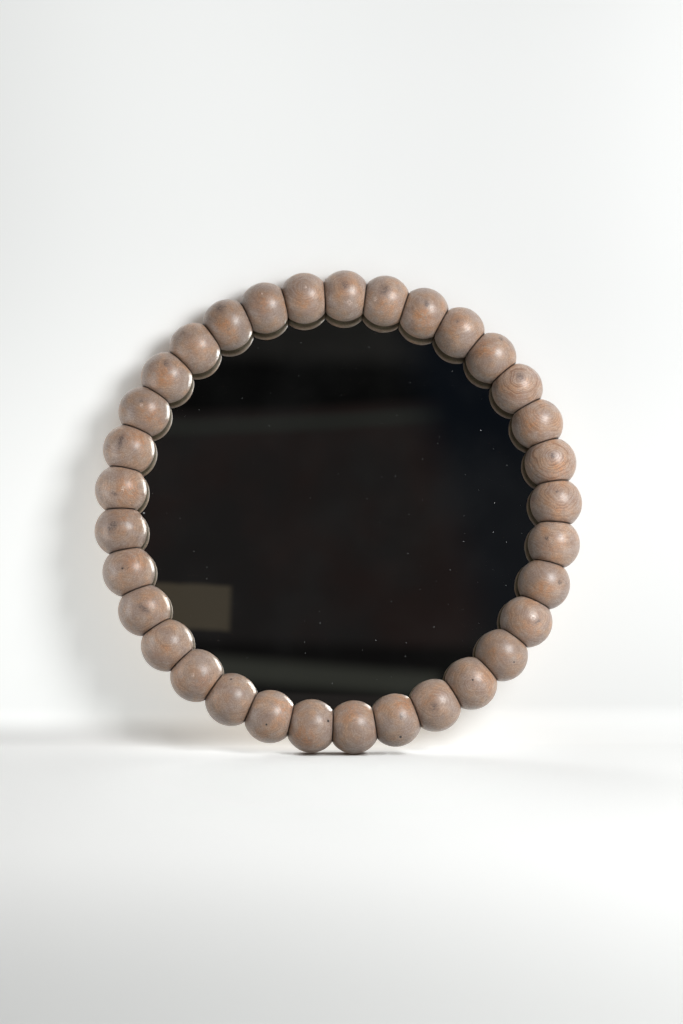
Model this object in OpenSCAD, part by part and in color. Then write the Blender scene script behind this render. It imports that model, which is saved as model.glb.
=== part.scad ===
// Round wall mirror in a ring of turned wooden balls.
// Frame: X to the right, Z up, the glass faces -Y. The origin lies on the mirror's own centre
// axis, in the plane of the wall that the rear bumpers press against. Millimetres.

/* [Ball ring] */
// Number of turned balls round the ring
ball_n = 33; // [24:1:44]
// Diameter of one ball
ball_d = 106; // [100:1:116]
// Diameter of the flat where two neighbouring balls meet
joint_d = 63.4; // [60:0.2:70]
// Glue line between the flats of two neighbouring balls
glue_line = 0.2; // [0.1:0.05:0.5]
// Width of the eased rim round each joint flat
rim_w = 2; // [1:0.25:4]
// Distance from a ball's centre back to its flat back
back_cut = 28; // [24:0.5:29]

/* [Dowels] */
// Diameter of the dowel in each joint
dowel_d = 10; // [8:0.5:12]
// Length of one dowel
dowel_len = 40; // [30:1:50]
// Spare depth of each dowel bore past the dowel's end
dowel_slack = 1; // [0.5:0.25:3]
// Radial clearance of a dowel in its bore
dowel_fit = 0.1; // [0.05:0.05:0.2]

/* [Glass] */
// Thickness of the mirror glass
glass_t = 4; // [3:0.5:6]
// How far the glass edge lies inside the circle of ball centres
glass_inset = 20; // [16:0.5:21]
// Gap between the glass edge and the wall of the rebate
edge_gap = 1.5; // [1:0.25:3]
// Thickness of the backing card behind the glass
card_t = 2; // [1:0.5:3]
// How far the card's edge lies inside the glass edge
card_inset = 6; // [2:1:20]

/* [Back board] */
// Thickness of the plywood back board
board_t = 9; // [6:0.5:12]
// How far the board reaches past the circle of ball centres
board_lap = 14; // [10:0.5:16]

/* [Board screws] */
// Shank diameter of a board screw
screw_d = 5; // [4:0.5:6]
// Length of a board screw, head included
screw_len = 40; // [30:1:45]
// Diameter of a board screw's countersunk head
screw_head_d = 10; // [9:0.5:11]
// Radial clearance of the screws in the board and in the wood
screw_fit = 0.1; // [0.05:0.05:0.3]

/* [Hangers] */
// Ball that carries a hanger, counted from the top one on each side
hanger_ball = 5; // [4:1:7]
// Width of a hanger strap
strap_w = 14; // [12:0.5:16]
// Thickness of the strap steel
strap_t = 1.5; // [1:0.1:2]
// Distance between a strap's two screws
strap_pitch = 22; // [20:0.5:26]
// Diameter of the ring wire
wire_d = 4; // [3:0.25:5]
// Clear width inside a hanger ring
ring_gap = 30; // [28:0.5:36]
// Straight length of each side of the ring before the bow
ring_leg = 3; // [2:0.5:6]
// Radial running clearance of the ring in the strap's rolled eye
hinge_fit = 0.05; // [0.02:0.01:0.1]
// Gap between the ring and the strap when the ring lies flat over it
ring_lift = 0.4; // [0.3:0.05:0.8]
// Shank diameter of a hanger screw
hanger_screw_d = 4; // [3:0.5:4.5]
// Length of a hanger screw under its head
hanger_screw_len = 24; // [18:1:30]
// Diameter of a hanger screw's pan head
pan_d = 9; // [7:0.5:10]
// Height of a hanger screw's pan head
pan_h = 2.4; // [1.8:0.1:3]

/* [Wall bumpers] */
// Diameter of a rubber wall bumper
bumper_d = 22; // [16:1:26]
// Angle of the bumpers from the vertical, moved to the nearest joint between balls
bumper_angle = 40; // [30:1:45]
// Gap between the hangers' eyes and the wall
wall_gap = 0.55; // [0.3:0.05:2]

/* [Hidden] */
$fn = 96;

function ball_name(i) = str("ball_", i < 10 ? "0" : "", i);

// Overcut that keeps a cutting tool from ending flush with a face
over = 1;

// The ring: balls whose flats meet on radial planes set its radius
pitch = 360 / ball_n;
half_pitch = pitch / 2;
ball_r = ball_d / 2;
flat_r = joint_d / 2;
ring_r = sqrt(ball_r * ball_r - flat_r * flat_r) / sin(half_pitch);
joint_r = ring_r * cos(half_pitch);
// Depth of a ball's centre under its flat
flat_depth = ring_r * sin(half_pitch) - glue_line / 2;
// The rim is eased at half the angle between the flat and the ball's surface there
rim_slope = asin(flat_r / ball_r) / 2;

// Heights of the ring's hinge over the board, and the eye rolled round it
wire_r = wire_d / 2;
hinge_h = strap_t + ring_lift + wire_r;
eye_bore_r = wire_r + hinge_fit;
eye_r = eye_bore_r + strap_t;

// Depths, from the wall at zero forward to the balls
bumper_h = hinge_h + eye_r + wall_gap;
board_back = -bumper_h;
board_front = board_back - board_t;
ball_y = board_front - back_cut;
glass_back = board_front - card_t;
glass_front = glass_back - glass_t;

// Radii of the glass, the rebate that takes it and the board behind
glass_r = ring_r - glass_inset;
rebate_r = glass_r + edge_gap;
board_r = ring_r + board_lap;
// Fasteners run on the middle of the wood between the rebate and the board's edge
fastener_r = (rebate_r + board_r) / 2;

// Ring and strap shape, measured from the hinge axis
bow_r = ring_gap / 2 + wire_r;
ring_reach = ring_leg + bow_r;
first_hole = (eye_r + ring_reach - wire_r) / 2;
second_hole = first_hole + strap_pitch;
strap_mid = (first_hole + second_hole) / 2;
strap_end_r = strap_w / 2;
hanger_angle = hanger_ball * pitch;
hanger_x = fastener_r * sin(hanger_angle);
hinge_z = fastener_r * cos(hanger_angle) + strap_mid;
hinge_y = board_back + hinge_h;

// Screw details: head cone, pointed tip and cross recess
head_depth = (screw_head_d - screw_d) / 2;
head_sink = 0.2;
tip_len = 6;
tip_r = 0.5;
cross_w = 1.2;
cross_share = 0.55;
cross_depth = 1.6;

wood_tones = [
    [0.60, 0.51, 0.45], [0.57, 0.49, 0.44], [0.62, 0.52, 0.44], [0.58, 0.51, 0.46], [0.61, 0.50, 0.43]
];
dowel_colour = [0.80, 0.68, 0.50];
glass_colour = [0.13, 0.14, 0.16];
card_colour = [0.62, 0.55, 0.45];
board_colour = [0.74, 0.62, 0.46];
steel_colour = [0.66, 0.67, 0.69];
brassed_colour = [0.72, 0.66, 0.50];
rubber_colour = [0.12, 0.12, 0.12];

// Turns a shape drawn at the top of the ring clockwise to the given angle, seen from the front
module turned(angle) {
    rotate([0, angle, 0]) children();
}

// A cylinder along Y from depth y, t long
module disc(y, t, r) {
    translate([0, y, 0]) rotate([-90, 0, 0]) cylinder(h = t, r = r);
}

// The ball as one joint leaves it: cut flat, with the flat's rim eased by a wide cone
module cut_ball(side) {
    far_r = flat_r - rim_w + ball_d / tan(rim_slope);
    turned(side * half_pitch)
        translate([-side * glue_line / 2, ball_y, joint_r])
            rotate([0, -side * 90, 0])
                intersection() {
                    translate([0, 0, flat_depth]) sphere(r = ball_r);
                    cylinder(h = ball_d, r1 = flat_r - rim_w, r2 = far_r);
                }
}

module dowel_bore(side) {
    depth = dowel_len / 2 + dowel_slack;
    turned(side * half_pitch)
        translate([side * over, ball_y, joint_r])
            rotate([0, -side * 90, 0])
                cylinder(h = over + depth, r = dowel_d / 2 + dowel_fit);
}

// Bores for the board screws, from the wall side forward, at the top of the ring
module board_screw_bore() {
    translate([0, board_back - screw_len - over, fastener_r])
        rotate([-90, 0, 0])
            cylinder(h = screw_len + 2 * over, r = screw_d / 2 + screw_fit);
}

module board_screw_sink() {
    wide = screw_head_d / 2 + screw_fit + head_sink;
    narrow = screw_d / 2 + screw_fit;
    translate([0, board_back - (wide - narrow), fastener_r])
        rotate([-90, 0, 0])
            cylinder(h = wide - narrow, r1 = narrow, r2 = wide);
}

module hanger_screw_places(side) {
    for (drop = [first_hole, second_hole])
        translate([side * hanger_x, board_back, hinge_z - drop]) children();
}

module hanger_screw_bores(side) {
    reach = hanger_screw_len - strap_t + over;
    hanger_screw_places(side)
        translate([0, -reach, 0])
            rotate([-90, 0, 0])
                cylinder(h = reach + over, r = hanger_screw_d / 2 + screw_fit);
}

// True where the ball at this place, counted from the top one, carries a hanger
function has_hanger(place) = place == hanger_ball || place == ball_n - hanger_ball;
function hanger_side(place) = place == hanger_ball ? 1 : -1;

module ball_body() {
    difference() {
        intersection() {
            cut_ball(1);
            cut_ball(-1);
            translate([-ball_d, board_front - 2 * ball_d, ring_r - ball_d])
                cube(2 * ball_d);
        }
        disc(glass_front, glass_t + card_t + over, rebate_r);
        dowel_bore(1);
        dowel_bore(-1);
    }
}

module ball(i) {
    place = i - 1;
    color(wood_tones[place % len(wood_tones)])
        difference() {
            turned(place * pitch) ball_body();
            if (has_hanger(place)) hanger_screw_bores(hanger_side(place));
            else turned(place * pitch) board_screw_bore();
        }
}

// One dowel across each joint, with both ends eased
module ball_dowels() {
    ease = 1;
    r = dowel_d / 2;
    color(dowel_colour)
        for (i = [0:ball_n - 1])
            turned((i + 0.5) * pitch)
                translate([-dowel_len / 2, ball_y, joint_r])
                    rotate([0, 90, 0])
                        union() {
                            cylinder(h = ease, r1 = r - ease, r2 = r);
                            translate([0, 0, ease]) cylinder(h = dowel_len - 2 * ease, r = r);
                            translate([0, 0, dowel_len - ease]) cylinder(h = ease, r1 = r, r2 = r - ease);
                        }
}

module mirror_glass() {
    color(glass_colour) disc(glass_front, glass_t, glass_r);
}

module backing_card() {
    color(card_colour) disc(glass_back, card_t, glass_r - card_inset);
}

module back_board() {
    color(board_colour)
        difference() {
            disc(board_front, board_t, board_r);
            for (place = [0:ball_n - 1])
                if (!has_hanger(place))
                    turned(place * pitch) {
                        board_screw_bore();
                        board_screw_sink();
                    }
            for (side = [-1, 1]) hanger_screw_bores(side);
        }
}

// Cross recess of a screw head that faces +Y, its mouth at the origin
module cross_recess(head_d) {
    reach = head_d * cross_share;
    for (size = [[reach, cross_w], [cross_w, reach]])
        translate([-size[0] / 2, -cross_depth, -size[1] / 2])
            cube([size[0], cross_depth + over, size[1]]);
}

// A screw along -Y with the top of its shank at the origin
module screw_shank(d, length) {
    rotate([90, 0, 0]) {
        cylinder(h = length - tip_len, r = d / 2);
        translate([0, 0, length - tip_len]) cylinder(h = tip_len, r1 = d / 2, r2 = tip_r);
    }
}

module board_screw() {
    difference() {
        union() {
            rotate([90, 0, 0]) cylinder(h = head_depth, r1 = screw_head_d / 2, r2 = screw_d / 2);
            translate([0, -head_depth, 0]) screw_shank(screw_d, screw_len - head_depth);
        }
        cross_recess(screw_head_d);
    }
}

module board_screws() {
    color(brassed_colour)
        for (place = [0:ball_n - 1])
            if (!has_hanger(place))
                turned(place * pitch)
                    translate([0, board_back - head_sink, fastener_r]) board_screw();
}

// A pan-head screw whose head stands on the strap
module hanger_screw() {
    crown = 0.8;
    difference() {
        union() {
            screw_shank(hanger_screw_d, hanger_screw_len);
            rotate([-90, 0, 0]) cylinder(h = pan_h - crown, r = pan_d / 2);
            translate([0, pan_h - crown, 0])
                rotate([-90, 0, 0]) cylinder(h = crown, r1 = pan_d / 2, r2 = pan_d / 2 - crown);
        }
        translate([0, pan_h, 0]) cross_recess(pan_d);
    }
}

module hanger_screws() {
    color(steel_colour)
        for (side = [-1, 1])
            hanger_screw_places(side) translate([0, strap_t, 0]) hanger_screw();
}

// Flat strap with two holes whose upper end is rolled into the eye that holds the ring
module hanger_strap(side) {
    color(steel_colour)
        translate([side * hanger_x, 0, hinge_z])
            difference() {
                union() {
                    translate([-strap_w / 2, board_back, -second_hole])
                        cube([strap_w, strap_t, second_hole]);
                    translate([0, board_back, -second_hole])
                        rotate([-90, 0, 0]) cylinder(h = strap_t, r = strap_end_r);
                    translate([-strap_w / 2, hinge_y, 0])
                        rotate([0, 90, 0]) cylinder(h = strap_w, r = eye_r);
                }
                translate([-strap_w, hinge_y, 0])
                    rotate([0, 90, 0]) cylinder(h = 2 * strap_w, r = eye_bore_r);
                for (drop = [first_hole, second_hole])
                    translate([0, board_back - over, -drop])
                        rotate([-90, 0, 0])
                            cylinder(h = strap_t + 2 * over, r = hanger_screw_d / 2 + screw_fit);
            }
}

// D-shaped wire ring: a straight bar in the eye, two short legs and a half-round bow below
module hanger_ring(side) {
    color(steel_colour)
        translate([side * hanger_x, hinge_y, hinge_z])
            union() {
                translate([-bow_r, 0, 0]) rotate([0, 90, 0]) cylinder(h = 2 * bow_r, r = wire_r);
                for (end = [-1, 1]) {
                    translate([end * bow_r, 0, 0]) sphere(r = wire_r);
                    translate([end * bow_r, 0, -ring_leg]) cylinder(h = ring_leg, r = wire_r);
                }
                translate([0, 0, -ring_leg])
                    rotate([-90, 0, 0])
                        rotate_extrude(angle = 180) translate([bow_r, 0]) circle(r = wire_r);
            }
}

function nearest_joint(angle) = (floor(angle / pitch) + 0.5) * pitch;

// Four rubber bumpers on the board's back, over joints so that they clear the screws
module wall_bumpers() {
    ease = 1;
    r = bumper_d / 2;
    color(rubber_colour)
        for (side = [-1, 1], angle = [bumper_angle, 180 - bumper_angle])
            turned(side * nearest_joint(angle))
                translate([0, board_back, fastener_r])
                    rotate([-90, 0, 0])
                        union() {
                            cylinder(h = bumper_h - ease, r = r);
                            translate([0, 0, bumper_h - ease]) cylinder(h = ease, r1 = r, r2 = r - ease);
                        }
}

for (i = [1:ball_n]) ball(i);
ball_dowels();
mirror_glass();
backing_card();
back_board();
board_screws();
hanger_strap(-1);  // hanger_strap_left
hanger_strap(1);  // hanger_strap_right
hanger_ring(-1);  // hanger_ring_left
hanger_ring(1);  // hanger_ring_right
hanger_screws();
wall_bumpers();
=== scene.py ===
import math
import random
from collections import namedtuple

import bmesh
import bpy
import numpy as np
from mathutils import Matrix, Vector


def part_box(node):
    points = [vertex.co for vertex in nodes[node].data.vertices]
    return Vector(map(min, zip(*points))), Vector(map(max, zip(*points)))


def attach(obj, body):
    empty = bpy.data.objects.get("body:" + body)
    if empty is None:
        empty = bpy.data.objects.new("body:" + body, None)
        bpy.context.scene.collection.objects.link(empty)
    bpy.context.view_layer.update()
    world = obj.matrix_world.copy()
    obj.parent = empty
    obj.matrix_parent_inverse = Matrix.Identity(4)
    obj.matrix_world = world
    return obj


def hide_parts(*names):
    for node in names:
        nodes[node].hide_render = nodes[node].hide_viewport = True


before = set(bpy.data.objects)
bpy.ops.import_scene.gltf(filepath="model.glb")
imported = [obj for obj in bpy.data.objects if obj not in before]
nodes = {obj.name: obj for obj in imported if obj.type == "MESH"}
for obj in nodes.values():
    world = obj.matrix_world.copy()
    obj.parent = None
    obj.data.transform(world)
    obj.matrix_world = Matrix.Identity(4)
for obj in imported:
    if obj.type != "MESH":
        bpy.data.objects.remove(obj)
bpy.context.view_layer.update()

# Sizes read from the frame, in metres
top_low, top_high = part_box("ball_01")
BALL_R = (top_high.z - top_low.z) / 2
RING_R = (top_high.z + top_low.z) / 2
BALL_Y = top_low.y + BALL_R
BACK_Y = top_high.y
BALL_NAMES = sorted(name for name in nodes if name[:5] == "ball_" and name[5:].isdigit())
PITCH = 2 * math.pi / len(BALL_NAMES)
glass_low, glass_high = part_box("mirror_glass")
GLASS_R = glass_high.z
SEAT_Y = glass_low.y

# The silvering lies behind the glass and looks nearer by the glass's refraction
GLASS_INDEX = 1.52
SILVER_Y = glass_low.y + (glass_high.y - glass_low.y) / GLASS_INDEX

# Shape details: the joint between two balls, the turned rim beside it, the back edge, the clearance
# round the glass, how much smaller a ball may be, the mesh steps and the mirror's seamed edge
GLUE_LINE = 0.0002
RIM_BAND = 0.0032
RIM_DROP = 0.0018
EDGE_EASE = 0.0012
REBATE_GAP = 0.0015
SIZE_LOSS = 0.006
SLICES = 44
ARC_POINTS = 84
SHARP_DEGREES = 30
DISC_STEPS = 288
DISC_SEAM = 0.0006

# Where a ball's raw back starts, behind and inside its centre, in ball radii; its colour carries painted
# shade towards the glass
RAW_BACK = 0.09
RAW_IN = 0.3

# How the mirror stands in the room and how the camera sees it
RING_TURN = math.radians(1.7745)
LEAN = math.radians(8.3363)
CAMERA_YAW = math.radians(1.3)
CAMERA_AWAY = 2.913
CAMERA_SIDE = 0.0055
CAMERA_DROP = 0.0104
LENS_MM = 50
SENSOR_MM = 36

# Painted light on the paper, a glow that the camera sees besides the lit tone: on the wall at its
# left and right, low and high, and on the floor below the mirror and far in front of it
LEFT_LOW, LEFT_HIGH = 0.56, 0.31
RIGHT_LOW, RIGHT_HIGH = 0.24, 0.05
FLOOR_GLOW = 0.34
FAR_GLOW = 0.45

# The paper's lit colours: mostly, near the key lamp, and on the floor near the camera; the two greyer ones
# are painted shade
PAPER_WHITE = (0.84, 0.85, 0.845, 1)
PAPER_GREY = (0.72, 0.73, 0.725, 1)
PAPER_NEAR = (0.6, 0.61, 0.605, 1)

# How far off the object its painted contact shadow still darkens the wall and the floor
CONTACT_WALL = 0.08
CONTACT_FLOOR = 0.034

# The paper sweep and the dark studio, by their sizes and the gaps that keep them clear
SWEEP_HALF, SWEEP_TOP, SWEEP_FRONT, SWEEP_COVE, COVE_STEPS = 5.0, 3.4, 7.0, 0.075, 12
WALL_GAP = 0.0005
FLOOR_GAP = 0.0002
STUDIO_R, STUDIO_RINGS, STUDIO_STEPS = 6.0, 24, 48
DARK_FLOOR_NEAR, DARK_FLOOR_FAR, DARK_FLOOR_UP = -1.3, -6, 0.001

# The one large speck on the glass, as its X and Z
FLUFF = (-0.4, -0.0215, 0.0)

# How light the wood is against its written colours
WOOD_LEVEL = 1.02

# Turns room directions (X right, Y to the wall, Z up) into the mirror's frame
ROOM = (Matrix.Rotation(-LEAN, 3, "X") @ Matrix.Rotation(RING_TURN, 3, "Y")).transposed()
ROOM_UP = ROOM @ Vector((0, 0, 1))
ROOM_BACK = ROOM @ Vector((0, 1, 0))


def srgb(red, green, blue):
    """A colour as it shows on screen, from 0 to 255, as linear RGBA."""
    linear = [((c / 255 + 0.055) / 1.055) ** 2.4 if c > 10 else c / 255 / 12.92 for c in (red, green, blue)]
    return (*linear, 1.0)


class Shade:
    """Short calls for building the nodes of one material."""

    def __init__(self, name, made=None):
        self.made = made or bpy.data.materials.new(name)
        self.made.use_nodes = True
        self.tree = self.made.node_tree
        self.tree.nodes.clear()

    def node(self, kind, inputs=None, **settings):
        made = self.tree.nodes.new("ShaderNode" + kind)
        for key, value in settings.items():
            setattr(made, key, value)
        for socket, value in (inputs or {}).items():
            self.plug(made.inputs[socket], value)
        return made

    def plug(self, socket, value):
        if isinstance(value, bpy.types.NodeSocket):
            self.tree.links.new(value, socket)
        else:
            socket.default_value = value

    def math(self, operation, *values, clamp=False):
        return self.node("Math", dict(enumerate(values)), operation=operation, use_clamp=clamp).outputs[0]

    def vector(self, operation, *values):
        made = self.node("VectorMath", dict(enumerate(values)), operation=operation)
        return made.outputs["Value" if operation in ("LENGTH", "DISTANCE", "DOT_PRODUCT") else "Vector"]

    def scaled(self, vector, factor):
        return self.node("VectorMath", {0: vector, "Scale": factor}, operation="SCALE").outputs[0]

    def joined(self, x, y, z):
        return self.node("CombineXYZ", {0: x, 1: y, 2: z}).outputs[0]

    def split(self, vector):
        return self.node("SeparateXYZ", {0: vector}).outputs

    def attribute(self, name):
        return self.node("Attribute", attribute_name=name)

    def noise(self, vector, scale, detail=2.0, roughness=0.5, distortion=0.0):
        inputs = {"Vector": vector, "Scale": scale, "Detail": detail, "Roughness": roughness}
        return self.node("TexNoise", {**inputs, "Distortion": distortion}).outputs[0]

    def noise_vector(self, vector, scale, detail=2.0):
        made = self.node("TexNoise", {"Vector": vector, "Scale": scale, "Detail": detail})
        return self.vector("SUBTRACT", made.outputs[1], (0.5, 0.5, 0.5))

    def cells(self, vector, scale):
        return self.node("TexVoronoi", {"Vector": vector, "Scale": scale}, voronoi_dimensions="2D")

    def smooth(self, value, low, high, start=0.0, end=1.0):
        inputs = {"Value": value, "From Min": low, "From Max": high, "To Min": start, "To Max": end}
        return self.node("MapRange", inputs, interpolation_type="SMOOTHSTEP").outputs[0]

    def mix(self, factor, first, second, blend="MIX"):
        made = self.node("Mix", {0: factor, 6: first, 7: second}, data_type="RGBA", blend_type=blend)
        return made.outputs[2]

    def bump(self, height, distance, strength=1.0):
        return self.node("Bump", {"Height": height, "Distance": distance, "Strength": strength}).outputs[0]

    def shown(self):
        """1 for what the camera sees, straight or by metal or glass, and 0 for light on the object."""
        path = self.node("LightPath").outputs
        seen = self.math("MAXIMUM", path["Is Camera Ray"], path["Is Glossy Ray"])
        seen = self.math("MAXIMUM", seen, path["Is Transmission Ray"])
        return self.math("MULTIPLY", seen, self.math("LESS_THAN", path["Diffuse Depth"], 0.5))

    def either(self, factor, first, second):
        return self.node("MixShader", {0: factor, 1: first.outputs[0], 2: second.outputs[0]})

    def finish(self, shader, output="OutputMaterial"):
        self.tree.links.new(shader.outputs[0], self.node(output).inputs[0])
        return self.made

    def surface(self, **inputs):
        """Ends the material in a Principled shader; spaces in socket names are written as underscores."""
        sockets = {name.replace("_", " "): value for name, value in inputs.items()}
        return self.finish(self.node("BsdfPrincipled", sockets))


# What each ball shows on its front, in ball radii right of and above its centre as the photograph
# has it: the pith that the growth rings run round, an orange patch, a dark knot, a pin hole and a
# light nick. The third number is a strength or a size. A slant is the knot's direction in degrees,
# from the right anticlockwise, and how much longer than wide it is.
AWAY = (9.0, 9.0, 0.05)
Look = namedtuple("Look", "pith warm knot pin nick slant tone", defaults=(
    (0.0, 0.2, 0.25), (0.1, -0.3, 0.4), AWAY, AWAY, AWAY, (90, 1.25), 0.0))
LOOKS = [
    Look(pith=(0.0, 0.12, 0.25), warm=(0.1, 0.1, 0.6), knot=(-0.02, 0.14, 0.16), nick=(0.18, -0.5, 0.09)),
    Look(pith=(-0.1, 0.2, 0.2), warm=(0.1, -0.35, 0.6), knot=(-0.06, 0.16, 0.18), nick=(-0.42, -0.2, 0.07)),
    Look(pith=(0.0, 0.1, 0.25), warm=(-0.1, -0.42, 0.9), knot=(0.04, 0.1, 0.12), tone=-0.05),
    Look(pith=(-0.1, 0.3, 0.2), warm=(-0.25, 0.15, 0.5), knot=(-0.2, 0.2, 0.06)),
    Look(pith=(-0.3, -0.4, 0.3), warm=(-0.3, 0.1, 0.7), knot=(0.3, 0.6, 0.08), tone=-0.05),
    Look(pith=(0.0, 0.24, 0.9), warm=(-0.2, -0.3, 0.3), knot=(0.0, 0.25, 0.15), tone=0.1),
    Look(pith=(0.15, 0.3, 0.6), warm=(-0.3, -0.1, 0.6), tone=0.05),
    Look(pith=(-0.05, 0.08, 0.9), warm=(0.1, -0.4, 0.7), knot=(-0.1, 0.1, 0.07), tone=0.1),
    Look(pith=(0.0, 0.35, 0.7), warm=(0.0, -0.3, 0.5), knot=(-0.1, 0.3, 0.06), tone=0.05),
    Look(pith=(0.1, 1.3, 0.6), warm=(-0.2, -0.2, 0.4), knot=(-0.42, 0.1, 0.06), tone=0.05),
    Look(pith=(0.2, 0.7, 0.4), warm=(-0.1, -0.3, 0.5), knot=(0.45, 0.0, 0.08), tone=-0.1),
    Look(pith=(0.2, 0.1, 0.4), warm=(0.0, -0.3, 0.5), knot=(0.3, -0.05, 0.06), slant=(35, 2.8),
         nick=(0.1, 0.1, 0.1)),
    Look(pith=(0.3, 0.2, 0.2), warm=(-0.2, 0.0, 0.4), pin=(0.35, -0.3, 0.03), tone=-0.15),
    Look(pith=(0.1, 0.0, 0.4), warm=(0.2, 0.1, 0.4), pin=(-0.05, 0.1, 0.035)),
    Look(pith=(-0.1, 0.1, 0.3), warm=(-0.2, 0.3, 0.4), knot=(-0.1, -0.1, 0.14)),
    Look(pith=(0.1, 0.2, 0.2), warm=(0.25, 0.65, 0.9), knot=(0.15, 0.15, 0.09), pin=(0.15, -0.62, 0.045)),
    Look(pith=(0.2, -0.1, 0.2), warm=(-0.1, 0.5, 0.6)),
    Look(pith=(0.0, 0.1, 0.25), warm=(-0.2, -0.5, 0.8), pin=(0.62, 0.2, 0.04)),
    Look(pith=(-0.1, -0.1, 0.2), warm=(0.55, 0.25, 0.7), pin=(-0.1, -0.3, 0.035), tone=0.1),
    Look(pith=(0.2, 0.1, 0.15), warm=(-0.3, 0.1, 0.2), pin=(0.0, 0.75, 0.03)),
    Look(pith=(0.0, 0.0, 0.2), warm=(0.3, -0.2, 0.4), nick=(-0.05, -0.02, 0.07), tone=0.05),
    Look(pith=(0.1, 0.4, 0.35), warm=(-0.1, -0.3, 0.3), tone=0.05),
    Look(pith=(0.0, 0.0, 0.25), warm=(0.4, 0.2, 0.5), knot=(0.08, 0.0, 0.1), slant=(-32, 2.6)),
    Look(pith=(-0.1, 0.2, 0.3), warm=(0.3, 0.3, 0.8), knot=(-0.12, 0.0, 0.05),
         pin=(-0.12, 0.02, 0.03)),
    Look(pith=(-0.1, 0.0, 0.25), warm=(0.3, 0.4, 0.5), knot=(-0.22, 0.05, 0.17), slant=(70, 1.5),
         tone=-0.1),
    Look(pith=(0.9, 0.1, 0.5), warm=(0.35, -0.1, 0.9), knot=(-0.12, -0.3, 0.05), slant=(-20, 3.0),
         nick=(0.2, -0.1, 0.08), tone=0.05),
    Look(pith=(-0.3, 0.2, 0.3), warm=(0.35, 0.3, 0.7), knot=(-0.2, 0.12, 0.12), slant=(80, 2.4)),
    Look(pith=(0.0, 0.3, 0.25), warm=(0.35, -0.3, 0.8), knot=(0.0, 0.2, 0.05), nick=(0.0, 0.05, 0.07),
         tone=-0.1),
    Look(pith=(0.1, 0.2, 0.2), warm=(0.0, -0.1, 0.8), knot=(0.05, 0.35, 0.12)),
    Look(pith=(-0.3, 0.3, 0.25), warm=(0.2, -0.2, 0.4), knot=(-0.4, 0.4, 0.07)),
    Look(pith=(-0.2, 0.3, 0.2), warm=(-0.1, -0.4, 0.5), knot=(-0.3, 0.45, 0.18), tone=-0.15),
    Look(pith=(0.0, 0.4, 0.25), warm=(0.0, 0.0, 0.6), nick=(-0.1, 0.3, 0.05), tone=-0.1),
    Look(pith=(-0.05, 0.2, 0.45), warm=(0.1, -0.3, 0.5), nick=(0.05, 0.15, 0.05)),
]


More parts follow.
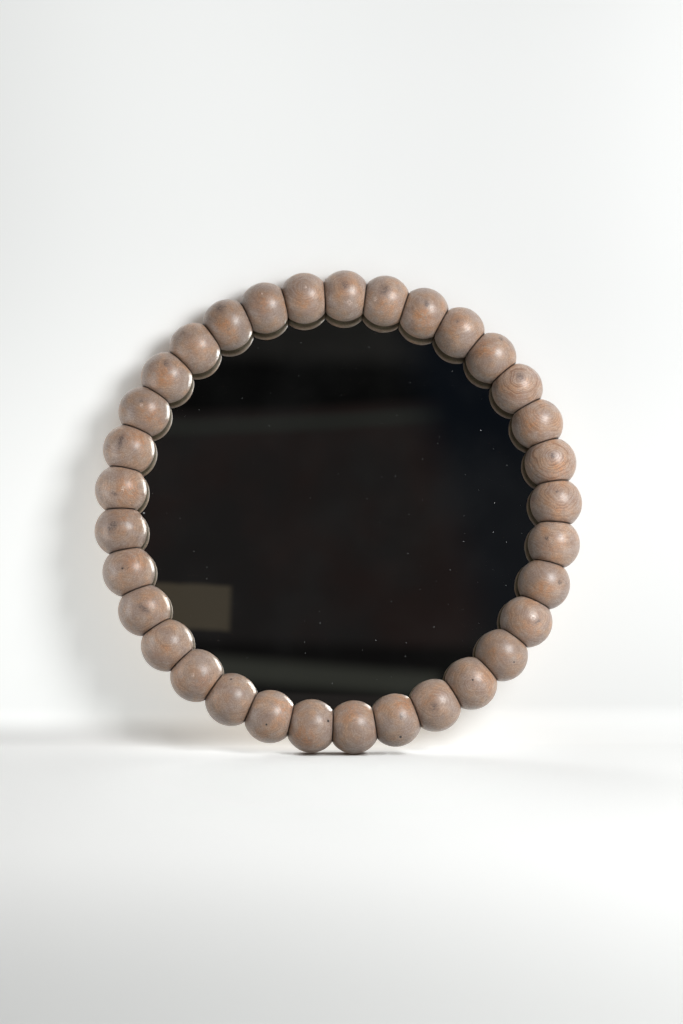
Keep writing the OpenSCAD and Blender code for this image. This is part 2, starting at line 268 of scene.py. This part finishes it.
def turned_wood():
    """Grey-washed hardwood: growth rings round a pith, orange heartwood, knots, pin holes and pores."""
    g = Shade("turned_wood")
    place = g.attribute("place").outputs["Vector"]
    tone = g.split(g.attribute("tone").outputs["Vector"])
    seeded = g.vector("ADD", place, g.scaled((3.1, 5.7, 9.2), tone[2]))
    wide_bend = g.scaled(g.noise_vector(seeded, 1.4), 0.42)
    small_bend = g.scaled(g.noise_vector(seeded, 5.0), 0.05)
    bent = g.split(g.vector("ADD", place, g.vector("ADD", wide_bend, small_bend)))
    torn = g.split(g.vector("ADD", place, g.scaled(g.noise_vector(seeded, 9.0, 4.0), 0.34)))
    straight = g.split(place)

    def mark_distance(mark, coords):
        across = g.math("SUBTRACT", coords[0], mark[0])
        return g.vector("LENGTH", g.joined(across, g.math("SUBTRACT", coords[1], mark[1]), 0.0))

    def spot(name, soft):
        """1 inside the round mark that the attribute places and sizes, 0 outside it."""
        mark = g.split(g.attribute(name).outputs["Vector"])
        return g.smooth(g.math("DIVIDE", mark_distance(mark, straight), mark[2]), 1 + soft, 1 - soft)

    def knot_distance():
        """The distance from the knot in its own sizes, shorter along its slant."""
        mark = g.split(g.attribute("knot").outputs["Vector"])
        slant = g.split(g.attribute("slant").outputs["Vector"])
        across = g.math("SUBTRACT", torn[0], mark[0])
        up = g.math("SUBTRACT", torn[1], mark[1])
        along = g.math("MULTIPLY_ADD", across, slant[0], g.math("MULTIPLY", up, slant[1]))
        beside = g.math("SUBTRACT", g.math("MULTIPLY", up, slant[0]), g.math("MULTIPLY", across, slant[1]))
        away = g.vector("LENGTH", g.joined(g.math("DIVIDE", along, slant[2]), beside, 0.0))
        return g.math("DIVIDE", away, mark[2])

    # Growth rings: uneven bands round the pith, each with a sharp late-wood edge
    pith = g.split(g.attribute("pith").outputs["Vector"])
    out = mark_distance(pith, bent)
    band_place = g.joined(g.math("MULTIPLY", out, 9.0), tone[2], 0.0)
    band_place = g.vector("ADD", band_place, g.scaled(seeded, 0.35))
    uneven = g.math("MULTIPLY", g.noise(band_place, 1.0, 3.0, 0.65), 2.4)
    lines = g.math("FRACT", g.math("MULTIPLY_ADD", out, 8.5, uneven))
    late_wood = g.math("MULTIPLY", g.smooth(lines, 0.42, 0.9), g.smooth(lines, 1.0, 0.95))
    shown_out = g.math("MULTIPLY", g.smooth(out, 1.3, 0.5, 0.55, 1.0), g.math("ADD", pith[2], 0.05))
    ring_mark = g.math("MULTIPLY", late_wood, shown_out, clamp=True)
    arc_place = g.joined(g.math("MULTIPLY", out, 36.0), tone[2], 0.0)
    arc_place = g.vector("ADD", arc_place, g.scaled(seeded, 1.3))
    arcs = g.noise(arc_place, 1.0, 2.0)

    # Colour: a grey-brown ground, broad orange heartwood, the ball's own patch, and the rings
    broad = g.noise(seeded, 1.7, 3.0, 0.55)
    mottle = g.noise(g.vector("ADD", seeded, wide_bend), 6.0, 4.0, 0.62)
    ground = g.mix(g.smooth(broad, 0.35, 0.62), srgb(170, 152, 141), srgb(190, 160, 135))
    warm = g.split(g.attribute("warm").outputs["Vector"])
    patch = g.math("MULTIPLY", g.smooth(mark_distance(warm, bent), 0.7, 0.05), warm[2])
    heart = g.math("ADD", patch, g.smooth(broad, 0.48, 0.75, 0.0, 0.5))
    orange = g.math("MULTIPLY", heart, g.smooth(mottle, 0.32, 0.56), clamp=True)
    colour = g.mix(orange, ground, srgb(208, 146, 96))
    colour = g.mix(g.math("MULTIPLY", ring_mark, 0.9), colour, srgb(134, 90, 60))
    colour = g.mix(g.smooth(arcs, 0.42, 0.7, 0.0, 0.42), colour, srgb(142, 108, 86))
    wash = g.smooth(g.noise(seeded, 3.3, 4.0, 0.6), 0.42, 0.7, 0.0, 0.5)
    colour = g.mix(wash, colour, srgb(190, 173, 160))
    core = g.smooth(out, 0.4, 0.02, 0.0, 0.32)
    colour = g.mix(core, colour, srgb(142, 125, 116))
    blotch = g.smooth(g.noise(seeded, 11.0, 3.0, 0.7), 0.5, 0.72, 0.0, 0.36)
    colour = g.mix(blotch, colour, srgb(134, 110, 98))

    # Fine figure: end-grain specks on the front that draw out into streaks along the axis
    drawn = g.joined(straight[0], straight[1], g.math("MULTIPLY", straight[2], 0.14))
    drawn = g.vector("ADD", drawn, g.scaled((1.3, 2.9, 0.7), tone[2]))
    fine = g.noise(drawn, 26.0, 3.0, 0.75)
    colour = g.mix(g.smooth(fine, 0.38, 0.68, 0.0, 0.52), colour, srgb(120, 90, 73))
    colour = g.mix(g.smooth(fine, 0.42, 0.25, 0.0, 0.42), colour, srgb(218, 198, 182))
    pores = g.smooth(g.noise(drawn, 62.0, 1.0, 0.5), 0.64, 0.74)
    colour = g.mix(g.math("MULTIPLY", pores, 0.4), colour, srgb(84, 62, 52))

    # Hairline cracks in a few places
    crack = g.math("ABSOLUTE", g.math("SUBTRACT", g.noise(seeded, 3.2, 4.0, 0.6), 0.5))
    cracked = g.smooth(g.noise(seeded, 2.3, 1.0), 0.56, 0.66, 0.0, 0.6)
    colour = g.mix(g.math("MULTIPLY", g.smooth(crack, 0.011, 0.003), cracked), colour, srgb(82, 60, 50))

    # Marks: knots with a torn edge, pin holes, light nicks, and dirt with painted shade in the joints
    from_knot = knot_distance()
    halo = g.math("MULTIPLY", g.smooth(from_knot, 1.7, 0.5), g.smooth(mottle, 0.3, 0.55, 0.15, 0.5))
    colour = g.mix(halo, colour, srgb(122, 104, 97))
    knot = g.math("MULTIPLY", g.smooth(from_knot, 1.1, 0.35), g.smooth(fine, 0.42, 0.58))
    colour = g.mix(g.math("MULTIPLY", knot, 0.7), colour, srgb(66, 54, 50))
    pin = spot("pin", 0.4)
    colour = g.mix(pin, colour, srgb(38, 26, 22))
    flat_place = g.joined(straight[0], g.math("MULTIPLY", straight[1], 3.0), straight[2])
    nick = g.math("MULTIPLY", spot("nick", 0.6), g.smooth(g.noise(flat_place, 16.0), 0.5, 0.58))
    colour = g.mix(nick, colour, srgb(226, 204, 188))
    # Dirt and painted shade in the joints: the wood turns near black at each joint flat, where the crevice
    # lies in shade
    seam = g.math("MULTIPLY_ADD", fine, 0.001, g.attribute("seam").outputs["Fac"])
    colour = g.mix(g.smooth(seam, 0.0026, 0.0006, 0.0, 0.95), colour, srgb(34, 25, 21))
    colour = g.scaled(colour, g.math("ADD", tone[0], WOOD_LEVEL))

    rough = g.math("MULTIPLY_ADD", knot, 0.08, g.smooth(fine, 0.3, 0.7, 0.44, 0.54))
    pits = g.math("MULTIPLY_ADD", pores, 0.4, g.math("MULTIPLY", pin, 4.0))
    height = g.math("SUBTRACT", g.math("MULTIPLY", fine, 0.5), g.math("MULTIPLY_ADD", ring_mark, 0.6, pits))
    bump = g.bump(height, 0.00025)
    return g.surface(Base_Color=colour, Roughness=rough, Normal=bump, Coat_Weight=0.65, Coat_Roughness=0.35)


def raw_wood_painted_shade():
    """The ball's back beside the glass, without varnish, with painted shade that darkens it towards the
    glass.
    """
    g = Shade("raw_wood_painted_shade")
    place = g.attribute("place").outputs["Vector"]
    grain = g.noise(g.vector("MULTIPLY", place, (26.0, 26.0, 5.0)), 1.0, 3.0, 0.7)
    # Painted shade: the colour darkens towards the glass, where the back stands in shade
    painted_shade_to_glass = g.smooth(g.split(place)[2], -0.1, -0.3)
    light = g.mix(painted_shade_to_glass, srgb(172, 149, 130), srgb(104, 91, 70))
    dark = g.mix(painted_shade_to_glass, srgb(142, 119, 101), srgb(80, 68, 52))
    colour = g.mix(g.smooth(grain, 0.35, 0.7), light, dark)
    return g.surface(Base_Color=colour, Roughness=0.85, Normal=g.bump(grain, 0.0002))


def silvered_glass():
    """A clean mirror with a few specks of dust."""
    g = Shade("silvered_glass")
    place = g.node("NewGeometry").outputs["Position"]
    across, _, up = g.split(place)
    cells = g.cells(g.joined(across, up, 0.0), 34.0)
    rare = g.smooth(across, -0.3, 0.35, 0.93, 0.8)
    chosen = g.math("GREATER_THAN", g.split(cells.outputs["Color"])[0], rare)
    size = g.math("MULTIPLY_ADD", g.split(cells.outputs["Color"])[1], 0.013, 0.003)
    beyond = g.math("SUBTRACT", cells.outputs["Distance"], size)
    speck = g.math("MULTIPLY", g.smooth(beyond, 0.01, 0.0), chosen)
    fluff = g.vector("DISTANCE", g.joined(across, up, 0.0), FLUFF)
    speck = g.math("MAXIMUM", g.math("MULTIPLY", speck, 0.55), g.smooth(fluff, 0.0022, 0.001))
    haze = g.smooth(g.noise(place, 7.0, 3.0), 0.35, 0.75, 0.0, 0.004)
    return g.surface(
        Base_Color=g.mix(speck, srgb(236, 240, 237), srgb(150, 155, 160)),
        Metallic=g.math("SUBTRACT", 1.0, g.math("ADD", speck, haze)),
        Roughness=g.math("MULTIPLY_ADD", speck, 0.5, 0.004),
    )


def plywood():
    """Birch plywood: straight grain on the face, dark and pale plies on the edge."""
    g = Shade("birch_plywood")
    geometry = g.node("NewGeometry")
    place = geometry.outputs["Position"]
    flat = g.vector("MULTIPLY", place, (22.0, 60.0, 1.6))
    wander = g.vector("ADD", flat, g.scaled(g.noise_vector(place, 3.0), 1.6))
    grain = g.noise(wander, 1.6, 5.0, 0.62, 0.4)
    fibre = g.noise(g.vector("MULTIPLY", place, (420.0, 0.0, 14.0)), 1.0, 3.0, 0.6)
    face = g.mix(g.smooth(grain, 0.32, 0.68), srgb(205, 176, 135), srgb(176, 141, 101))
    face = g.mix(g.smooth(fibre, 0.45, 0.75, 0.0, 0.35), face, srgb(150, 116, 80))
    from_front = g.math("SUBTRACT", g.split(place)[1], BACK_Y)
    depth = g.math("DIVIDE", from_front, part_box("back_board")[1].y - BACK_Y)
    ply = g.math("FRACT", g.math("MULTIPLY", depth, 3.5))
    edge = g.mix(g.smooth(ply, 0.46, 0.54), srgb(190, 156, 112), srgb(128, 92, 62))
    edge = g.mix(g.smooth(fibre, 0.4, 0.7, 0.0, 0.3), edge, srgb(110, 80, 55))
    facing = g.math("ABSOLUTE", g.split(geometry.outputs["Normal"])[1])
    colour = g.mix(g.smooth(facing, 0.4, 0.6), edge, face)
    height = g.math("ADD", grain, g.math("MULTIPLY", fibre, 0.6))
    rough = g.smooth(fibre, 0.3, 0.7, 0.5, 0.68)
    return g.surface(Base_Color=colour, Roughness=rough, Normal=g.bump(height, 0.0002))


def pressed_card():
    """Grey card with a fine felted surface."""
    g = Shade("grey_card")
    place = g.node("NewGeometry").outputs["Position"]
    felt = g.noise(place, 900.0, 3.0, 0.7)
    colour = g.mix(g.smooth(felt, 0.3, 0.7), srgb(150, 142, 128), srgb(172, 164, 150))
    return g.surface(Base_Color=colour, Roughness=0.9, Normal=g.bump(felt, 0.0001))


def dowel_wood():
    """Pale beech with short dark flecks."""
    g = Shade("beech_dowel")
    place = g.node("NewGeometry").outputs["Position"]
    fleck = g.noise(g.vector("MULTIPLY", place, (900.0, 300.0, 900.0)), 1.0, 2.0)
    colour = g.mix(g.smooth(fleck, 0.45, 0.7), srgb(205, 172, 132), srgb(170, 130, 92))
    return g.surface(Base_Color=colour, Roughness=0.6, Normal=g.bump(fleck, 0.00005))


def plated_steel(name, bright, dull):
    """Zinc-plated steel: a faint spangle, rubbed places and fine scratches."""
    g = Shade(name)
    place = g.node("NewGeometry").outputs["Position"]
    cloud = g.noise(place, 160.0, 4.0, 0.6)
    scratch = g.noise(g.vector("MULTIPLY", place, (300.0, 300.0, 2600.0)), 1.0, 2.0, 0.6)
    worn = g.math("MULTIPLY", g.smooth(cloud, 0.35, 0.7), 0.8)
    colour = g.mix(worn, bright, dull)
    rough = g.math("ADD", g.smooth(cloud, 0.3, 0.7, 0.22, 0.4), g.smooth(scratch, 0.55, 0.75, 0.0, 0.12))
    return g.surface(Base_Color=colour, Metallic=1.0, Roughness=rough, Normal=g.bump(scratch, 0.00002))


def moulded_rubber():
    """Black rubber, dusty grey where it was handled."""
    g = Shade("black_rubber")
    place = g.node("NewGeometry").outputs["Position"]
    dust = g.noise(place, 240.0, 4.0, 0.65)
    colour = g.mix(g.smooth(dust, 0.45, 0.8, 0.0, 0.5), srgb(34, 33, 32), srgb(78, 75, 72))
    rough = g.smooth(dust, 0.3, 0.8, 0.55, 0.8)
    return g.surface(Base_Color=colour, Roughness=rough, Normal=g.bump(dust, 0.00012))


def mesh_object(name, points, faces):
    """A closed mesh object with outward faces, shaded smooth except across sharp edges."""
    mesh = bpy.data.meshes.new(name)
    mesh.from_pydata([tuple(p) for p in points], [], faces)
    work = bmesh.new()
    work.from_mesh(mesh)
    bmesh.ops.recalc_face_normals(work, faces=work.faces)
    work.to_mesh(mesh)
    work.free()
    mesh.polygons.foreach_set("use_smooth", [True] * len(mesh.polygons))
    mesh.set_sharp_from_angle(angle=math.radians(SHARP_DEGREES))
    made = bpy.data.objects.new(name, mesh)
    bpy.context.scene.collection.objects.link(made)
    return made


def joined_rows(count, steps):
    """The faces that join count + 1 closed rows of points, each of so many steps."""
    faces = []
    for row in range(count):
        for k in range(steps):
            a, b = row * steps + k, row * steps + (k + 1) % steps
            faces.append((a, b, b + steps, a + steps))
    return faces


def ball_outline(centre, radius):
    """One slice of a ball, as (distance from the ring's axis, Y) pairs: round the front from the eased
    outer edge of the flat back to the glass seat, then along the seat and up the rebate's wall."""
    back_depth = BACK_Y - BALL_Y
    seat_depth = SEAT_Y - BALL_Y
    rebate_r = GLASS_R + REBATE_GAP
    start = -math.asin((back_depth - EDGE_EASE) / radius)
    end = math.pi + math.asin(seat_depth / radius)
    turns = np.linspace(start, end, ARC_POINTS)
    arc = [(centre + radius * math.cos(t), BALL_Y - radius * math.sin(t)) for t in turns]
    outer = centre + math.sqrt(radius ** 2 - back_depth ** 2) - EDGE_EASE
    return arc + [(rebate_r, SEAT_Y), (rebate_r, BACK_Y), (outer, BACK_Y)]


def turned_ball(number, look, finish, raw):
    """One ball, sliced on planes through the ring's axis from one joint flat to the other. Its back
    beside the glass is left raw, with painted shade towards the glass."""
    chance = random.Random(number)
    at = (number - 1) * PITCH
    reach = PITCH / 2 - GLUE_LINE / 2 / RING_R
    size = BALL_R * (1 - chance.uniform(0.0, SIZE_LOSS))
    points, seams = [], []
    for step in range(SLICES + 1):
        turn = reach * math.sin((step / SLICES - 0.5) * math.pi)
        from_flat = RING_R * math.sin(reach - abs(turn))
        radius = math.sqrt(size ** 2 - (RING_R * math.sin(turn)) ** 2)
        radius -= RIM_DROP * max(0.0, 1 - from_flat / RIM_BAND) ** 2
        for away, y in ball_outline(RING_R * math.cos(turn), radius):
            points.append((away * math.sin(at + turn), y, away * math.cos(at + turn)))
            seams.append(from_flat)
    count = len(points) // (SLICES + 1)
    faces = [tuple(range(count)), tuple(range(SLICES * count, (SLICES + 1) * count))[::-1]]
    faces += joined_rows(SLICES, count)
    name = f"turned_ball_{number:02d}"
    made = mesh_object(name, points, faces)
    centre = np.array((RING_R * math.sin(at), BALL_Y, RING_R * math.cos(at)))
    local = (np.array(points) - centre) / BALL_R
    marks = {"place": local[:, [0, 2, 1]] * (1, 1, -1), "tone": (look.tone, 0.0, chance.uniform(0, 9))}
    marks.update({kind: getattr(look, kind) for kind in ("pith", "warm", "knot", "pin", "nick")})
    angle, longer = look.slant
    marks["slant"] = (math.cos(math.radians(angle)), math.sin(math.radians(angle)), longer)
    for kind, value in marks.items():
        data = made.data.attributes.new(kind, "FLOAT_VECTOR", "POINT").data
        data.foreach_set("vector", np.broadcast_to(value, (len(points), 3)).astype(np.float32).ravel())
    made.data.attributes.new("seam", "FLOAT", "POINT").data.foreach_set("value", np.array(seams, np.float32))
    made.data.materials.append(finish)
    made.data.materials.append(raw)
    for face in made.data.polygons:
        inward = RING_R - math.hypot(face.center.x, face.center.z)
        if face.center.y - BALL_Y > RAW_BACK * BALL_R and inward > RAW_IN * BALL_R:
            face.material_index = 1
    return made


def mirror_disc():
    """The silvered face where it shows through the glass, with its seamed edge."""
    steps = DISC_STEPS
    rows = [(GLASS_R - DISC_SEAM, SILVER_Y), (GLASS_R, SILVER_Y + DISC_SEAM), (GLASS_R, glass_high.y)]
    turns = [2 * math.pi * k / steps for k in range(steps)]
    points = [(r * math.sin(t), y, r * math.cos(t)) for r, y in rows for t in turns]
    faces = [tuple(range(steps)), tuple(range(2 * steps, 3 * steps))[::-1]]
    faces += joined_rows(len(rows) - 1, steps)
    return mesh_object("mirror_disc", points, faces)


def dress(made, node):
    """A new piece that stands for one CAD node of the fixed frame."""
    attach(made, "frame")
    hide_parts(node)


def finish_node(name, material):
    node = nodes[name]
    node.data.materials.clear()
    node.data.materials.append(material)


def room_point(x, y, z):
    """A point given in the room's directions, from the ring's centre, in the mirror's frame."""
    return Vector((0, BALL_Y, 0)) + ROOM @ Vector((x, y, z))


def object_reach(direction):
    """How far the object reaches in a direction, from the ring's centre."""
    centre = Vector((0, BALL_Y, 0))
    reaches = []
    for node in nodes.values():
        co = np.empty(len(node.data.vertices) * 3)
        node.data.vertices.foreach_get("co", co)
        reaches.append(float(((co.reshape(-1, 3) - centre) @ np.array(direction)).max()))
    return max(reaches)


def backdrop(floor):
    """A pale paper sweep that the mirror leans on. Only its front face shows."""
    wall = object_reach(ROOM_BACK) + WALL_GAP
    outline = [(wall, SWEEP_TOP)]
    for k in range(COVE_STEPS + 1):
        t = math.pi / 2 * k / COVE_STEPS
        depth = wall - SWEEP_COVE + SWEEP_COVE * math.cos(t)
        outline.append((depth, floor + SWEEP_COVE - SWEEP_COVE * math.sin(t)))
    outline.append((-SWEEP_FRONT, floor))
    points = [room_point(x, y, z) for y, z in outline for x in (-SWEEP_HALF, SWEEP_HALF)]
    faces = [(2 * k + 2, 2 * k + 3, 2 * k + 1, 2 * k) for k in range(len(outline) - 1)]
    mesh = bpy.data.meshes.new("backdrop")
    mesh.from_pydata(points, [], faces)
    mesh.polygons.foreach_set("use_smooth", [True] * len(mesh.polygons))
    made = bpy.data.objects.new("backdrop", mesh)
    bpy.context.scene.collection.objects.link(made)
    made.visible_shadow = False
    made.visible_diffuse = False
    mesh.materials.append(paper(floor))
    return made


def paper(floor):
    """Pale paper with painted light and shade: dimmer at the left, at the top and towards the camera,
    greyer near the key lamp and darker round the object; clear from behind.
    """
    g = Shade("paper_sweep")
    geometry = g.node("NewGeometry")
    from_ring = g.vector("SUBTRACT", geometry.outputs["Position"], (0, BALL_Y, 0))
    side, depth, height = (g.vector("DOT_PRODUCT", from_ring, tuple(ROOM.col[k])) for k in range(3))
    rightwards = g.smooth(side, -0.6, 0.6)
    upwards = g.smooth(height, floor, 0.9)
    outwards = g.smooth(depth, -0.8, -1.6)
    on_floor = g.smooth(height, floor + 0.06, floor)

    # What the lamps light, in a colour with painted shade: greyer near the lamp and on the near floor
    near_lamp = g.math("MULTIPLY", rightwards, g.math("MAXIMUM", upwards, 0.4))
    wall = g.mix(near_lamp, PAPER_WHITE, PAPER_GREY)
    lit_colour = g.mix(g.math("MULTIPLY", on_floor, outwards), wall, PAPER_NEAR)

    # Painted light: a glow that the camera sees besides, whatever the light there
    left = g.smooth(upwards, 0.0, 1.0, LEFT_LOW, LEFT_HIGH)
    right = g.smooth(upwards, 0.0, 0.8, RIGHT_LOW, RIGHT_HIGH)
    wall_glow = g.math("MULTIPLY_ADD", rightwards, g.math("SUBTRACT", right, left), left)
    middle = g.smooth(g.math("ABSOLUTE", side), 0.55, 0.1, 0.35, 1.0)
    floor_glow = g.math("MULTIPLY", g.smooth(depth, 0.1, -1.3, FLOOR_GLOW, 0.0), middle)
    floor_glow = g.math("ADD", floor_glow, g.smooth(depth, -1.7, -3.5, 0.0, FAR_GLOW))
    glow = g.math("MULTIPLY_ADD", on_floor, g.math("SUBTRACT", floor_glow, wall_glow), wall_glow)
    # Painted contact shadow: dark brown in the glow and in the lit colour where the object stands close to
    # the wall and floor
    reach = g.math("MULTIPLY_ADD", on_floor, CONTACT_FLOOR - CONTACT_WALL, CONTACT_WALL)
    occlusion = g.node("AmbientOcclusion", {"Distance": reach}, samples=8).outputs["AO"]
    open_sky = g.math("MAXIMUM", occlusion, g.smooth(depth, -0.06, -0.13))
    contact = g.smooth(open_sky, 0.3, g.math("MULTIPLY_ADD", on_floor, -0.27, 0.97))
    seen_colour = g.mix(contact, srgb(64, 50, 40), srgb(252, 255, 253))
    added = g.node("Emission", {"Color": seen_colour, "Strength": g.math("MULTIPLY", g.shown(), glow)})
    touching = g.smooth(open_sky, 0.1, 0.48)
    lit = g.node("BsdfDiffuse", {"Color": g.mix(touching, srgb(60, 50, 42), lit_colour)})
    front = g.node("AddShader", {0: lit.outputs[0], 1: added.outputs[0]})
    seen = g.node("LightPath").outputs["Diffuse Depth"]
    hidden = g.math("MAXIMUM", geometry.outputs["Backfacing"], g.math("GREATER_THAN", seen, 0.5))
    return g.finish(g.either(hidden, front, g.node("BsdfTransparent")))


def dark_studio(floor):
    """Painted reflections: the unlit studio in front of the mirror and of the paper's end, as a dim glowing
    dome and a dark sheet on the floor, which only reflections show.
    """
    points = []
    for ring in range(STUDIO_RINGS + 1):
        polar = math.pi / 2 * ring / STUDIO_RINGS
        away = STUDIO_R * math.sin(polar)
        for k in range(STUDIO_STEPS):
            turn = 2 * math.pi * k / STUDIO_STEPS
            points.append((away * math.sin(turn), -STUDIO_R * math.cos(polar), away * math.cos(turn)))
    faces = joined_rows(STUDIO_RINGS, STUDIO_STEPS)
    faces.append(tuple(range(len(points), len(points) + 4)))
    near, far = DARK_FLOOR_NEAR, DARK_FLOOR_FAR
    for x, y in ((-SWEEP_HALF, near), (SWEEP_HALF, near), (SWEEP_HALF, far), (-SWEEP_HALF, far)):
        points.append(tuple(room_point(x, y, floor + DARK_FLOOR_UP)))
    mesh = bpy.data.meshes.new("dark_studio")
    mesh.from_pydata(points, [], faces)
    made = bpy.data.objects.new("dark_studio", mesh)
    bpy.context.scene.collection.objects.link(made)
    for kind in ("camera", "diffuse", "shadow", "transmission", "volume_scatter"):
        setattr(made, "visible_" + kind, False)
    mesh.materials.append(studio_pattern())
    return made


def studio_pattern():
    """Painted reflections in emission: black cloth with a pale edge, a dim pane at the left and a lit strip,
    as the mirror shows them.
    """
    g = Shade("dark_studio")
    position = g.node("NewGeometry").outputs["Position"]
    x, y, z = g.split(position)

    def band(value, low, high, soft):
        below = g.smooth(value, high + soft, high - soft)
        return g.math("MULTIPLY", g.smooth(value, low - soft, low + soft), below)

    cloud = g.noise(position, 1.3, 3.0)
    slanted = g.math("MULTIPLY_ADD", x, -0.084, z)
    colour = g.mix(g.smooth(cloud, 0.4, 0.65), srgb(29, 27, 27), srgb(33, 26, 25))
    colour = g.mix(g.smooth(slanted, 1.44, 1.56), colour, srgb(10, 10, 10))
    colour = g.mix(g.smooth(z, 1.7, 1.86), colour, srgb(29, 28, 27))
    edge = g.math("MULTIPLY", band(slanted, 1.37, 1.46, 0.035), g.smooth(x, 0.98, 0.9))
    colour = g.mix(edge, colour, srgb(36, 36, 34))
    wavy = g.math("MULTIPLY_ADD", cloud, 0.12, z)
    pane = g.math("MULTIPLY", g.smooth(x, -0.53, -0.59), band(wavy, 0.15, 0.43, 0.025))
    colour = g.mix(pane, colour, srgb(66, 59, 50))
    colour = g.mix(g.smooth(z, 0.1, -0.02), colour, srgb(16, 15, 15))
    sloping = g.math("MULTIPLY_ADD", x, 0.05, z)
    strip = g.math("MULTIPLY", band(sloping, -0.23, -0.09, 0.06), band(x, -0.68, 0.75, 0.06))
    colour = g.mix(strip, colour, srgb(50, 50, 46))
    colour = g.mix(g.smooth(z, -0.25, -0.29), colour, srgb(38, 35, 34))
    blue = g.mix(g.smooth(z, 0.9, 1.5), srgb(23, 24, 27), srgb(13, 16, 21))
    colour = g.mix(g.smooth(g.math("MULTIPLY_ADD", z, 0.3, x), 0.87, 1.25), colour, blue)
    return g.finish(g.node("Emission", {"Color": colour}))


def area_lamp(name, place, aim, width, height, watts):
    lamp = bpy.data.lights.new(name, "AREA")
    lamp.shape = "RECTANGLE"
    lamp.size, lamp.size_y = width, height
    lamp.energy = watts
    made = bpy.data.objects.new(name, lamp)
    bpy.context.scene.collection.objects.link(made)
    made.location = place
    made.rotation_euler = (aim - place).to_track_quat("-Z", "Y").to_euler()
    return made


def spare(lamp, objects):
    """Keeps a lamp's light off some objects."""
    left_out = bpy.data.collections.new(lamp.name + "_left_out")
    for number, spared in enumerate(objects):
        left_out.objects.link(spared)
        left_out.collection_objects[number].light_linking.link_state = "EXCLUDE"
    lamp.light_linking.receiver_collection = left_out


def room_light():
    """Dim light from the studio in front, bright from the wall side; the camera sees a pale room."""
    g = Shade("room", bpy.data.worlds.new("room"))
    bpy.context.scene.world = g.made
    direction = g.node("TexCoord").outputs["Generated"]
    back = g.vector("DOT_PRODUCT", direction, tuple(ROOM_BACK))
    right = g.vector("DOT_PRODUCT", direction, tuple(ROOM @ Vector((1, 0, 0))))
    level = g.math("MULTIPLY_ADD", right, 0.07, g.smooth(back, -0.1, 0.3, 0.11, 0.7))
    ambient = g.node("Background", {"Color": srgb(255, 253, 250), "Strength": level})
    pale = g.node("Background", {"Color": srgb(244, 246, 244), "Strength": 1.0})
    g.finish(g.either(g.shown(), ambient, pale), "OutputWorld")


def add_camera():
    turn = ROOM @ Matrix.Rotation(-CAMERA_YAW, 3, "Z")
    place = Vector((0, BALL_Y, 0)) + turn @ Vector((CAMERA_SIDE, -CAMERA_AWAY, -CAMERA_DROP))
    lens = bpy.data.cameras.new("camera")
    lens.sensor_fit = "VERTICAL"
    lens.sensor_height = SENSOR_MM
    lens.lens = LENS_MM
    made = bpy.data.objects.new("camera", lens)
    bpy.context.scene.collection.objects.link(made)
    facing = turn @ Matrix.Rotation(math.pi / 2, 3, "X")
    made.matrix_world = Matrix.Translation(place) @ facing.to_4x4()
    bpy.context.scene.camera = made


add_camera()
bpy.context.scene.view_settings.view_transform = "Standard"

wood, raw = turned_wood(), raw_wood_painted_shade()
balls = [turned_ball(number, look, wood, raw) for number, look in enumerate(LOOKS, 1)]
for made, name in zip(balls, BALL_NAMES):
    dress(made, name)
disc = mirror_disc()
disc.data.materials.append(silvered_glass())
dress(disc, "mirror_glass")

finish_node("back_board", plywood())
finish_node("backing_card", pressed_card())
finish_node("ball_dowels", dowel_wood())
finish_node("board_screws", plated_steel("yellow_zinc", srgb(206, 184, 132), srgb(168, 146, 102)))
hanger_steel = plated_steel("bright_zinc", srgb(205, 207, 210), srgb(158, 160, 164))
for name in sorted(nodes):
    if name.startswith("hanger_"):
        finish_node(name, hanger_steel)
finish_node("wall_bumpers", moulded_rubber())

floor = -object_reach(-ROOM_UP) - FLOOR_GAP
paper_sweep = backdrop(floor)
dark_studio(floor)
ring_centre = room_point(0, 0, 0)
area_lamp("key", room_point(1.4, -1.9, 1.0), ring_centre, 0.9, 1.1, 64)
fill = area_lamp("fill", room_point(-1.16, -0.35, -0.05), room_point(-0.45, 0, -0.05), 0.45, 0.8, 3.3)
spare(fill, [paper_sweep] + balls[3:14])
bounce = area_lamp("bounce", room_point(0.8, -0.4, -0.4), room_point(0.15, 0, -0.42), 0.7, 0.5, 1.1)
spare(bounce, [paper_sweep])
area_lamp("rear", room_point(-1.3, 2.3, 1.3), ring_centre, 1.2, 1.2, 30)
room_light()
